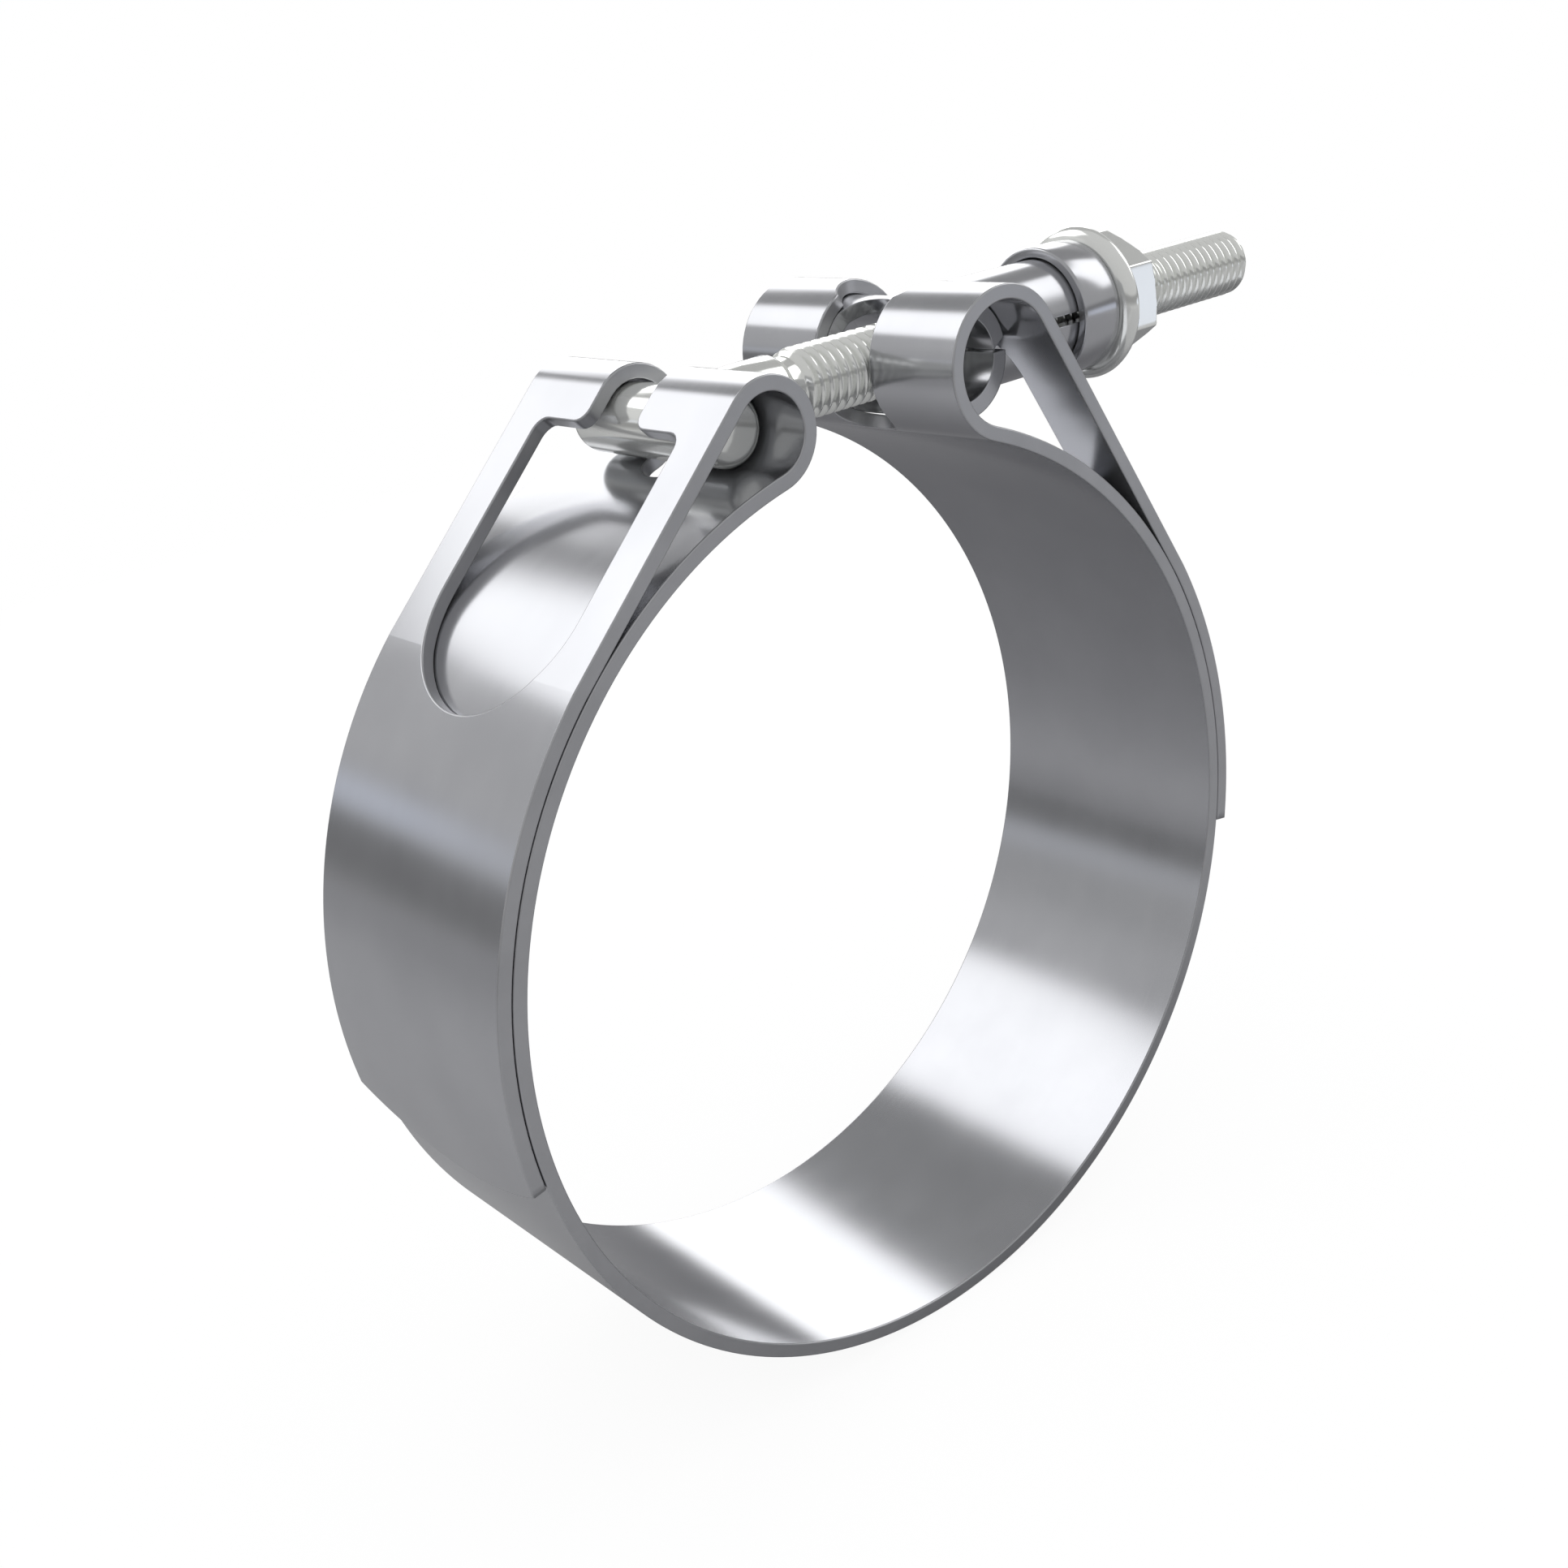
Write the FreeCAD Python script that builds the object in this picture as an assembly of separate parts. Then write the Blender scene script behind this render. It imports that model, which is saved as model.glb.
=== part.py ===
import FreeCAD, Part
import math
import os

# Quick release band clamp for a round pipe, sizes in millimetres.
# The origin is the centre of the pipe ring. +Y runs along the pipe, +X along the bolt
# towards its nut, and +Z from the pipe up to the bolt.
# One steel strip makes the pipe ring and a folded loop at each end. The left loop holds the
# hammer head of the bolt, and the right loop holds the barrel of a rolled sheet trunnion.

# Strip
ring_bore_radius = 50.0
strip_thickness = 1.6
band_width = 34.0
lap_gap = 0.1
strap_end_angle = 10.1
strap_end_bulge = 3.7

# Bolt
head_radius = 3.8
head_length = 23.0
head_edge_radius = 1.5
shank_taper_start = 6.3
shank_root_radius = 3.7
shank_radius = 3.9
undercut_radius = 3.3
undercut_length = 2.9
undercut_cone_length = 0.9
thread_radius = 3.985
thread_lead_in = 0.6
thread_length = 73.7
tip_radius = 1.4
bolt_length = 90.6

# Left loop, for the bolt's head
left_loop_offset = 11.964
head_clearance = 0.3
shank_clearance = 0.3
head_side_clearance = 0.5
left_leg_dip = 0.55
left_bend_radius = 20.0
left_shoulder_drop = 4.1
left_window_reach = 24.2
left_window_corner = 1.6
left_shoulder_nose = 1.7
left_slot_end_angle = 106.25

# Trunnion
trunnion_bore_radius = 4.55
trunnion_wall = 1.85
trunnion_length = 21.0
trunnion_reach = 28.5
trunnion_slot_clearance = 0.5
trunnion_slot_length = 18.3
neck_slit = 1.2
seam_gap = 0.3
seam_bevel = 1.15

# Right loop, for the trunnion's barrel
barrel_clearance = 0.1
right_leg_dip = 0.2
right_bend_radius = 20.0
right_bolt_clearance = 0.36
right_slot_end_angle = 248.7
neck_side_clearance = 0.45
upper_window_end_angle = 79.5
leg_window_half_width = 9.35
leg_window_start = 8.75
leg_window_end = 21.0

# Collar and nut
collar_clearance = 0.15
collar_wall = 1.15
collar_length = 5.9
collar_edge = 0.25
seat_gap = 0.3
collar_seat_gap = 0.1
nut_thread_clearance = 0.05
nut_height = 8.0
nut_across_flats = 13.0
nut_turn = 2.0
flange_radius = 8.95
flange_rim = 1.3
flange_slope_length = 2.3
nut_chamfer = 0.9
countersink = 0.55

# Sizes that follow
ring_radius = ring_bore_radius + strip_thickness
strap_bore_radius = ring_radius + lap_gap
strap_radius = strap_bore_radius + strip_thickness
half_width = band_width / 2
margin = 1.0

# The left loop touches the ring, so its place on the ring gives the bolt its height.
left_bore_radius = head_radius + head_clearance
bolt_axis_height = math.sqrt((ring_radius + left_bore_radius) ** 2 - left_loop_offset ** 2)
left_slot_half = shank_radius + shank_clearance
left_window_half = head_length / 2 + head_side_clearance

barrel_radius = trunnion_bore_radius + trunnion_wall
right_bore_radius = barrel_radius + barrel_clearance
right_slot_half = thread_radius + right_bolt_clearance
upper_window_half = barrel_radius + neck_side_clearance

ACROSS = FreeCAD.Vector(0, 1, 0)
ALONG = FreeCAD.Vector(1, 0, 0)


class LoopedEnd:
    """One end of the strip: loop, straight leg and lapped strap, worked out on the +X side.

    sign is -1 for the left end, which is the same construction mirrored in x.
    Angles are in degrees from +X of the unmirrored side towards +Z.
    """

    def __init__(self, sign, bore_radius, leg_dip, bend_radius):
        self.sign = sign
        self.bore = bore_radius
        self.outer = bore_radius + strip_thickness
        centre_distance = ring_radius + bore_radius
        self.x = math.sqrt(centre_distance ** 2 - bolt_axis_height ** 2)
        self.z = bolt_axis_height
        self.tangent_angle = math.degrees(math.atan2(self.z, self.x))
        leg_distance = strap_radius - leg_dip
        tilt = math.degrees(math.acos((leg_distance - self.outer) / centre_distance))
        self.leg_angle = self.tangent_angle - tilt
        self.bend_radius = bend_radius
        lean = (leg_distance + bend_radius) / (strap_radius + bend_radius)
        self.strap_start_angle = self.leg_angle + math.degrees(math.acos(lean))

    def point(self, x, z):
        return FreeCAD.Vector(self.sign * x, 0, z)

    def round(self, radius, angle, centre=(0.0, 0.0)):
        """The point at a radius and an angle about a centre."""
        turn = math.radians(angle)
        return self.point(centre[0] + radius * math.cos(turn), centre[1] + radius * math.sin(turn))

    def arc(self, radius, start, end, centre=(0.0, 0.0)):
        middle = (start + end) / 2
        ends = [self.round(radius, angle, centre) for angle in (start, middle, end)]
        return Part.Arc(*ends).toShape()

    def normal(self, angle):
        return self.round(1.0, angle)

    def faces(self):
        """The edges of both faces of the strip, from the ring's tangent to the strap's end."""
        centre = (self.x, self.z)
        back = self.tangent_angle + 180
        bend_distance = strap_radius + self.bend_radius
        bend = (bend_distance * math.cos(math.radians(self.strap_start_angle)),
                bend_distance * math.sin(math.radians(self.strap_start_angle)))
        past_end = strap_end_angle + math.degrees((strap_end_bulge + margin) / strap_radius)
        inner = [self.arc(self.bore, self.leg_angle, back, centre),
                 self.arc(strap_bore_radius, self.strap_start_angle, -past_end)]
        outer = [self.arc(self.outer, self.leg_angle, back, centre),
                 self.arc(strap_radius, self.strap_start_angle, -past_end)]
        if self.strap_start_angle - self.leg_angle > 0.01:
            turn = (self.leg_angle + 180, self.strap_start_angle + 180)
            inner.append(self.arc(self.bend_radius + strip_thickness, *turn, bend))
            outer.append(self.arc(self.bend_radius, *turn, bend))
            inner_foot = self.round(self.bend_radius + strip_thickness, turn[0], bend)
            outer_foot = self.round(self.bend_radius, turn[0], bend)
        else:
            inner_foot = self.round(strap_bore_radius, self.leg_angle)
            outer_foot = self.round(strap_radius, self.leg_angle)
        inner.append(Part.makeLine(self.round(self.bore, self.leg_angle, centre), inner_foot))
        outer.append(Part.makeLine(self.round(self.outer, self.leg_angle, centre), outer_foot))
        end_cap = Part.makeLine(self.round(strap_bore_radius, -past_end),
                                self.round(strap_radius, -past_end))
        return inner + outer + [end_cap]

    def leg_frame(self):
        """Origin on the leg's outer face where the loop ends, way down the leg, and normal."""
        origin = self.round(self.outer, self.leg_angle, (self.x, self.z))
        return origin, self.normal(self.leg_angle - 90), self.normal(self.leg_angle)

    def sector(self, start, end, half):
        """A slice of the loop between two angles, for a slot of a half width across it."""
        centre = (self.x, self.z)
        reach = self.outer + margin
        hub = self.point(*centre)
        rim = self.arc(reach, start, end, centre)
        spokes = [Part.makeLine(hub, self.round(reach, start, centre)),
                  Part.makeLine(self.round(reach, end, centre), hub)]
        face = face_of([rim] + spokes)
        face.translate(ACROSS * -half)
        return face.extrude(ACROSS * (2 * half))


def face_of(edges):
    return Part.Face(Part.Wire(Part.__sortEdges__(edges)))


def tool_through(edges, origin, way, normal, depth, rise):
    """A cutter: an outline drawn in (way, y) at an origin, from a depth under it to a rise over it.

    Each edge of the outline is a list of (s, y) points: two for a line, three for an arc and
    more for a smooth curve that leaves and comes back along the way.
    """
    shapes = []
    for points in edges:
        spots = [origin + way * s + ACROSS * y for s, y in points]
        if len(spots) == 2:
            shapes.append(Part.makeLine(*spots))
        elif len(spots) == 3:
            shapes.append(Part.Arc(*spots).toShape())
        else:
            curve = Part.BSplineCurve()
            curve.interpolate(Points=spots, InitialTangent=way, FinalTangent=way * -1)
            shapes.append(curve.toShape())
    face = face_of(shapes)
    face.translate(normal * -depth)
    return face.extrude(normal * (depth + rise))


def clear_of_ring(tool):
    """A cutter for the lapped strap, kept off the ring that lies under it."""
    core = Part.makeCylinder(ring_radius + lap_gap / 2, 4 * band_width,
                             ACROSS * (-2 * band_width), ACROSS)
    return tool.cut(core)


def rolled_end(end, centre, surface_radius, angle, half, turn):
    """The round end of a slot that was punched flat and then rolled to a radius.

    A point of the round end at an arc length d from the slot's centre line lies at
    radius * sin(d / radius) along the tangent. turn is +1 where the slot ends at a larger
    angle than its centre, and -1 at a smaller one.
    """
    steps = 8
    curve = []
    for step in range(steps + 1):
        swing = math.pi * (step / steps - 0.5)
        flat = half * math.cos(swing)
        curve.append((surface_radius * math.sin(flat / surface_radius), half * math.sin(swing)))
    back = -margin
    outline = [curve,
               [(0.0, half), (back, half)],
               [(back, half), (back, -half)],
               [(back, -half), (0.0, -half)]]
    origin = end.round(surface_radius, angle, centre)
    way = end.normal(angle + 90 * turn)
    depth = min(0.75 * surface_radius, 3 * strip_thickness)
    return tool_through(outline, origin, way, end.normal(angle), depth, margin)


def stadium(start, end, half):
    """A slot's outline along s, with round ends about start and end."""
    return [[(start, half), (end, half)],
            [(end, half), (end + half, 0.0), (end, -half)],
            [(end, -half), (start, -half)],
            [(start, -half), (start - half, 0.0), (start, half)]]


def keyhole(top, shoulder, reach, slot, window, nose, corner):
    """The left leg's opening: a narrow slot that steps out to the window for the bolt's head."""
    bow = math.sqrt(0.5)
    edges = [[(top, -slot), (top, slot)]]
    edges.append([(reach, -window), (reach + window, 0.0), (reach, window)])
    for side in (-1, 1):
        nose_centre = (shoulder - nose, slot + nose)
        corner_centre = (shoulder + corner, window - corner)
        edges.append([(top, side * slot), (shoulder - nose, side * slot)])
        edges.append([(shoulder - nose, side * slot),
                      (nose_centre[0] + nose * bow, side * (nose_centre[1] - nose * bow)),
                      (shoulder, side * (slot + nose))])
        edges.append([(shoulder, side * (slot + nose)), (shoulder, side * corner_centre[1])])
        edges.append([(shoulder, side * corner_centre[1]),
                      (corner_centre[0] - corner * bow, side * (corner_centre[1] + corner * bow)),
                      (corner_centre[0], side * window)])
        edges.append([(corner_centre[0], side * window), (reach, side * window)])
    return edges


def strap_end_tool(end):
    """Trims the lapped strap to its end, which is bowed across the width."""
    beyond = strap_end_bulge + 3 * margin
    wide = half_width + margin
    outline = [[(0.0, -half_width), (strap_end_bulge, 0.0), (0.0, half_width)],
               [(0.0, half_width), (0.0, wide)],
               [(0.0, wide), (beyond, wide)],
               [(beyond, wide), (beyond, -wide)],
               [(beyond, -wide), (0.0, -wide)],
               [(0.0, -wide), (0.0, -half_width)]]
    origin = end.round(strap_radius, -strap_end_angle)
    tool = tool_through(outline, origin, end.normal(-strap_end_angle - 90),
                        end.normal(-strap_end_angle), 2 * strip_thickness, margin)
    return clear_of_ring(tool)


def left_openings(end):
    """Slot for the bolt's shank all round the left loop, and the window for its head."""
    back = end.tangent_angle + 180
    tools = [end.sector(end.leg_angle, back, left_slot_half)]
    end_angle = 180 - left_slot_end_angle + math.degrees(left_slot_half / ring_radius)
    tools.append(rolled_end(end, (0.0, 0.0), ring_radius, end_angle, left_slot_half, -1))
    outline = keyhole(-margin / 2, left_shoulder_drop, left_window_reach, left_slot_half,
                      left_window_half, left_shoulder_nose, left_window_corner)
    origin, way, normal = end.leg_frame()
    window = tool_through(outline, origin, way, normal, 2 * strip_thickness, 2 * strip_thickness)
    tools.append(clear_of_ring(window))
    return tools


def right_openings(end):
    """Slot for the bolt in the right loop's front, and the windows for the trunnion's neck."""
    centre = (end.x, end.z)
    slot_centre = right_slot_end_angle - math.degrees(right_slot_half / end.outer)
    origin, way, normal = end.leg_frame()
    step = math.sqrt(leg_window_half_width ** 2 - upper_window_half ** 2)
    neck_outline = [[(-margin / 2, upper_window_half), (leg_window_start - step, upper_window_half)],
                    [(leg_window_start - step, upper_window_half),
                     (leg_window_start - step, -upper_window_half)],
                    [(leg_window_start - step, -upper_window_half),
                     (-margin / 2, -upper_window_half)],
                    [(-margin / 2, -upper_window_half), (-margin / 2, upper_window_half)]]
    depth = 2 * strip_thickness
    return [end.sector(upper_window_end_angle, slot_centre, right_slot_half),
            rolled_end(end, centre, end.outer, slot_centre, right_slot_half, 1),
            end.sector(end.leg_angle, upper_window_end_angle, upper_window_half),
            rolled_end(end, centre, end.outer, upper_window_end_angle, upper_window_half, 1),
            tool_through(neck_outline, origin, way, normal, depth, depth),
            tool_through(stadium(leg_window_start, leg_window_end, leg_window_half_width),
                         origin, way, normal, depth, depth)]


def make_band(left, right):
    """The whole strip as one profile, pulled to its width and cut like the punched blank."""
    edges = left.faces() + right.faces()
    for radius in (ring_bore_radius, ring_radius):
        start = left.round(radius, left.tangent_angle)
        end = right.round(radius, right.tangent_angle)
        bottom = FreeCAD.Vector(0, 0, -radius)
        edges.append(Part.Arc(start, bottom, end).toShape())
    face = face_of(edges)
    face.translate(ACROSS * -half_width)
    strip = face.extrude(ACROSS * band_width)
    for tool in left_openings(left) + right_openings(right):
        strip = strip.cut(tool)
    for end in (left, right):
        strip = strip.cut(strap_end_tool(end))
    return strip.removeSplitter()


def turned(points, x, z):
    """A solid of revolution about the bolt's axis from (distance along X, radius) points."""
    spots = [FreeCAD.Vector(x + along, 0, z + radius) for along, radius in points]
    wire = Part.makePolygon(spots + [spots[0]])
    return Part.Face(wire).revolve(FreeCAD.Vector(x, 0, z), ALONG, 360)


def make_t_bolt(head_x):
    """Forged bolt with a hammer head across it, an undercut and a long threaded end."""
    z = bolt_axis_height
    head = Part.makeCylinder(head_radius, head_length,
                             FreeCAD.Vector(head_x, -head_length / 2, z), ACROSS)
    rims = [edge for edge in head.Edges if edge.Closed and isinstance(edge.Curve, Part.Circle)]
    head = head.makeFillet(head_edge_radius, rims)
    thread_start = bolt_length - thread_length
    shank_end = thread_start - undercut_length
    neck_start = thread_start - thread_lead_in
    body = turned([(0.0, 0.0),
                   (0.0, shank_root_radius),
                   (shank_taper_start, shank_root_radius),
                   (shank_end, shank_radius),
                   (shank_end + undercut_cone_length, undercut_radius),
                   (neck_start, undercut_radius),
                   (thread_start, thread_radius),
                   (bolt_length, thread_radius),
                   (bolt_length, 0.0)], head_x, z)
    tip = [edge for edge in body.Edges
           if edge.Closed and edge.BoundBox.XMin > head_x + bolt_length - margin
           and abs(edge.BoundBox.ZLength - 2 * thread_radius) < margin]
    body = body.makeFillet(tip_radius, tip)
    return head.fuse(body)


def make_trunnion(x, z):
    """Sheet rolled into a barrel across the bolt and two half tubes along it."""
    centre = FreeCAD.Vector(x, 0, z)
    half = trunnion_length / 2

    def barrel(radius, extra):
        start = centre - ACROSS * (half + extra)
        return Part.makeCylinder(radius, trunnion_length + 2 * extra, start, ACROSS)

    def neck(radius, extra):
        return Part.makeCylinder(radius, trunnion_reach + extra, centre, ALONG)

    body = barrel(barrel_radius, 0.0).fuse(neck(barrel_radius, 0.0))
    body = body.cut([barrel(trunnion_bore_radius, margin), neck(trunnion_bore_radius, margin)])
    return body.cut(trunnion_cuts(x, z))


def trunnion_cuts(x, z):
    """The bolt's slot in the barrel's back, the open seam and the slits along the neck."""
    slot_half = thread_radius + trunnion_slot_clearance
    half = trunnion_length / 2
    straight = trunnion_slot_length / 2 - slot_half
    straight_angle = math.degrees(straight / barrel_radius)
    loop = LoopedEnd(1, right_bore_radius, right_leg_dip, right_bend_radius)
    cuts = [loop.sector(180 - straight_angle, 180 + straight_angle, slot_half)]
    for turn in (-1, 1):
        cuts.append(rolled_end(loop, (x, z), barrel_radius, 180 + turn * straight_angle,
                               slot_half, turn))
    seam_start = x + trunnion_bore_radius - margin
    seam = Part.makeBox(barrel_radius, trunnion_length + 2 * margin, seam_gap,
                        FreeCAD.Vector(seam_start, -half - margin, z - seam_gap / 2))
    slit = Part.makeBox(trunnion_reach, 4 * barrel_radius, neck_slit,
                        FreeCAD.Vector(x + barrel_radius, -2 * barrel_radius, z - neck_slit / 2))
    top = z + seam_gap / 2
    run = trunnion_wall + margin
    bevel = Part.makePolygon([FreeCAD.Vector(x + trunnion_bore_radius, -half - margin, top),
                              FreeCAD.Vector(x + trunnion_bore_radius + run, -half - margin, top),
                              FreeCAD.Vector(x + trunnion_bore_radius + run, -half - margin,
                                             top + seam_bevel * run / trunnion_wall),
                              FreeCAD.Vector(x + trunnion_bore_radius, -half - margin, top)])
    bevel = Part.Face(bevel).extrude(ACROSS * (trunnion_length + 2 * margin))
    return cuts + [seam, slit, bevel]


def make_collar(start, z):
    """Plain sleeve round the end of the neck, with its edges broken."""
    bore = barrel_radius + collar_clearance
    outer = bore + collar_wall
    end = collar_length
    return turned([(0.0, bore),
                   (0.0, outer - collar_edge),
                   (collar_edge, outer),
                   (end - collar_edge, outer),
                   (end, outer - collar_edge),
                   (end, bore)], start, z)


def make_flange_nut(start, z):
    """Hexagon nut with a sloped round flange, chamfered at its far end."""
    bore = thread_radius + nut_thread_clearance
    corner = nut_across_flats / math.sqrt(3)
    hexagon = []
    for step in range(7):
        turn = math.radians(60 * step + 30 - nut_turn)
        hexagon.append(FreeCAD.Vector(start, corner * math.cos(turn), z + corner * math.sin(turn)))
    prism = Part.Face(Part.makePolygon(hexagon)).extrude(ALONG * nut_height)
    flat = nut_across_flats / 2
    envelope = turned([(0.0, 0.0),
                       (0.0, corner + margin),
                       (nut_height - nut_chamfer, corner + margin),
                       (nut_height, flat - margin / 4),
                       (nut_height, 0.0)], start, z)
    rim_face = flange_radius - flange_rim / 2
    skirt = turned([(0.0, 0.0),
                    (0.0, rim_face),
                    (flange_rim * 0.15, rim_face + flange_rim * 0.35),
                    (flange_rim * 0.5, flange_radius),
                    (flange_rim, flange_radius - flange_rim * 0.15),
                    (flange_slope_length, corner - margin / 2),
                    (flange_slope_length, 0.0)], start, z)
    hole = turned([(-margin, 0.0),
                   (-margin, bore + countersink + margin),
                   (countersink, bore),
                   (nut_height - countersink, bore),
                   (nut_height + margin, bore + countersink + margin),
                   (nut_height + margin, 0.0)], start, z)
    return prism.common(envelope).fuse(skirt).cut(hole)


def main():
    left = LoopedEnd(-1, left_bore_radius, left_leg_dip, left_bend_radius)
    right = LoopedEnd(1, right_bore_radius, right_leg_dip, right_bend_radius)
    neck_end = right.x + trunnion_reach
    nut_start = neck_end + seat_gap
    collar_start = nut_start - collar_seat_gap - collar_length
    parts = {"band": make_band(left, right),
             "t_bolt": make_t_bolt(-left.x),
             "trunnion": make_trunnion(right.x, right.z),
             "collar": make_collar(collar_start, bolt_axis_height),
             "flange_nut": make_flange_nut(nut_start, bolt_axis_height)}
    os.makedirs("parts", exist_ok=True)
    for name, shape in parts.items():
        shape.exportStep("parts/" + name + ".step")
        box = shape.BoundBox
        print(name, "valid", shape.isValid(), "solids", len(shape.Solids),
              "volume", round(shape.Volume, 1), "faces", len(shape.Faces),
              "x", round(box.XMin, 2), round(box.XMax, 2), "y", round(box.YMin, 2),
              round(box.YMax, 2), "z", round(box.ZMin, 2), round(box.ZMax, 2))
    print("left loop centre", round(-left.x, 3), "right loop centre", round(right.x, 3))
    print("leg angles", round(180 - left.leg_angle, 2), round(right.leg_angle, 2))


main()
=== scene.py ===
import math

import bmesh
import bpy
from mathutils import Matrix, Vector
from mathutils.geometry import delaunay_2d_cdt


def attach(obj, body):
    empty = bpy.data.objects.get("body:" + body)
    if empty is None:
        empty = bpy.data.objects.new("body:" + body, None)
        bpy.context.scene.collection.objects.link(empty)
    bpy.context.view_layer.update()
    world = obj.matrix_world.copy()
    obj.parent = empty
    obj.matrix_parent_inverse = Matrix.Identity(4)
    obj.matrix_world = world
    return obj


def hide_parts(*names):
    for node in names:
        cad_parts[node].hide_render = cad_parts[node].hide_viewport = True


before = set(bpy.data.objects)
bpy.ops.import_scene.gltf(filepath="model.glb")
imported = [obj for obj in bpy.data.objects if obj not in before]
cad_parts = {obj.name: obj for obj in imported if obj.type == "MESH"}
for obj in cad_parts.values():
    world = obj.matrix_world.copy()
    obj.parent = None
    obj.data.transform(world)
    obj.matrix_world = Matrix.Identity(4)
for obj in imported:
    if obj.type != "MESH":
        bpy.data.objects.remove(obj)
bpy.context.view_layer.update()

# %% [markdown]
# # A quick release band clamp
#
# This lesson dresses a steel clamp for a round pipe. A strip of stainless steel makes the pipe
# ring and folds into a loop at each end. The left loop holds the hammer head of a bolt, and the
# right loop holds a rolled trunnion. A collar and a flange nut close it.
#
# Everything is in metres here, but a clamp is easier to think about in millimetres, so sizes are
# written in millimetres and multiplied by one value where a mesh is made.

MM = 0.001

# %% [markdown]
# ## Camera
#
# The camera stands in front of the left loop, a little above it, and looks along the bolt at an
# angle. Its place and its three axes were worked out from the ring's two circles and from the
# bolt, so a camera that is simply pointed at the middle would be a little off. Setting the whole
# rotation at once keeps the small roll.

# %% The camera
CAMERA_PLACE = Vector((-123.1, -156.1, 91.3)) * MM
CAMERA_FORWARD = Vector((0.5649, 0.7348, -0.3755)).normalized()
CAMERA_UP = Vector((0.3344, 0.2121, 0.9182))
SENSOR = 36.0
FOCAL_SHARE = 2342.84 / 1932


def aim(forward, up):
    """A rotation whose -Z looks forward and whose Y is as near to up as it can be."""
    back = -forward.normalized()
    side = up.cross(back).normalized()
    return Matrix((side, back.cross(side), back)).transposed()


camera_data = bpy.data.cameras.new("camera")
camera_data.sensor_width = SENSOR
camera_data.lens = FOCAL_SHARE * SENSOR
camera_data.clip_start = 0.005
camera = bpy.data.objects.new("camera", camera_data)
camera.matrix_world = Matrix.Translation(CAMERA_PLACE) @ aim(CAMERA_FORWARD, CAMERA_UP).to_4x4()
bpy.context.scene.collection.objects.link(camera)
bpy.context.scene.camera = camera
bpy.context.scene.view_settings.view_transform = "Standard"
print("lens, mm:", round(camera_data.lens, 2))

# %% [markdown]
# ## Shader maths as plain expressions
#
# A finish is a small sum: a colour, plus a little noise, times a mask. Wiring that by hand hides
# the sum, so one small class wraps a socket and lets Python's own operators add the Math nodes.
# The reflected forms make `1 - mask` work as well as `mask - 1`. Every other node comes from one
# method, which takes the node's type, its settings and then its sockets. Some nodes give back all
# their outputs by name, such as the three parts of a vector. One more method gives a soft step, which
# draws every fade in this lesson.


# %% A socket that does sums
class Tone:
    """One output socket of a finish, as a number that changes over the surface."""

    def __init__(self, finish, socket):
        self.finish = finish
        self.socket = socket

    def sum(self, operation, first, second=None, clamp=False):
        sockets = {0: first} if second is None else {0: first, 1: second}
        return self.finish.node("Math", {"operation": operation, "use_clamp": clamp}, sockets)

    def __add__(self, other):
        return self.sum("ADD", self, other)

    def __radd__(self, other):
        return self.sum("ADD", other, self)

    def __sub__(self, other):
        return self.sum("SUBTRACT", self, other)

    def __rsub__(self, other):
        return self.sum("SUBTRACT", other, self)

    def __mul__(self, other):
        return self.sum("MULTIPLY", self, other)

    def __rmul__(self, other):
        return self.sum("MULTIPLY", other, self)

    def clamped(self):
        return self.sum("ADD", self, 0.0, clamp=True)

    def at_least(self, other):
        return self.sum("MAXIMUM", self, other)

    def rise(self, low, high):
        """0 at low, 1 at high and a soft S between them; low may be the larger one."""
        return self.finish.node("MapRange", {"interpolation_type": "SMOOTHSTEP"},
                                {"Value": self, "From Min": low, "From Max": high})


class Finish:
    """A material, or the sky, whose nodes are added by type, settings and sockets."""

    def __init__(self, name, tree=None):
        self.material = None
        if tree is None:
            self.material = bpy.data.materials.new(name)
            self.material.use_nodes = True
            tree = self.material.node_tree
        self.tree = tree
        self.tree.nodes.clear()

    def node(self, kind, settings=None, sockets=None, output=0):
        made = self.tree.nodes.new("ShaderNode" + kind)
        for name, value in (settings or {}).items():
            setattr(made, name, value)
        for name, value in (sockets or {}).items():
            self.feed(made.inputs[name], value)
        if output is None:
            return {socket.name: Tone(self, socket) for socket in made.outputs}
        return Tone(self, made.outputs[output])

    def feed(self, socket, value):
        if isinstance(value, Tone):
            self.tree.links.new(value.socket, socket)
        elif isinstance(value, (tuple, list)) and len(value) == 3 and socket.type == "RGBA":
            socket.default_value = (*value, 1.0)
        else:
            socket.default_value = value

    def mix_colour(self, factor, first, second):
        settings = {"data_type": "RGBA", "clamp_factor": True}
        return self.node("Mix", settings, {0: factor, 6: first, 7: second}, output=2)

    def output(self, shader, kind="OutputMaterial"):
        end = self.tree.nodes.new("ShaderNode" + kind)
        self.tree.links.new(shader.socket, end.inputs["Surface"])
        return self.material


print("sockets can be added, subtracted, multiplied and faded")

# %% [markdown]
# ## The steel finishes
#
# The strip is cold rolled stainless steel with a satin face. Its grain runs along the strip, its
# tone wanders a little from place to place, and its sheared edges are greyer and duller than its
# faces. The bolt and nut are plated and much brighter. Metal has almost no colour of its own: what
# shows is what it mirrors, so the base colour sets how much of the studio comes back, and the
# roughness how sharply. The photo's darkest mirror tones are still a middle grey, so a small part
# of each finish is matt, and a larger part of the plating.


# %% Steel
GENERATED_PLACE = 0
OBJECT_PLACE = 3
CLOUD_SCALE = 90.0
CLOUD_CONTRAST = 1.6
GRAIN_ROUGHNESS = 0.12
GRAIN_HEIGHT = 0.02
EVEN_GRAIN = (900.0, 900.0, 900.0)


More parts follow.
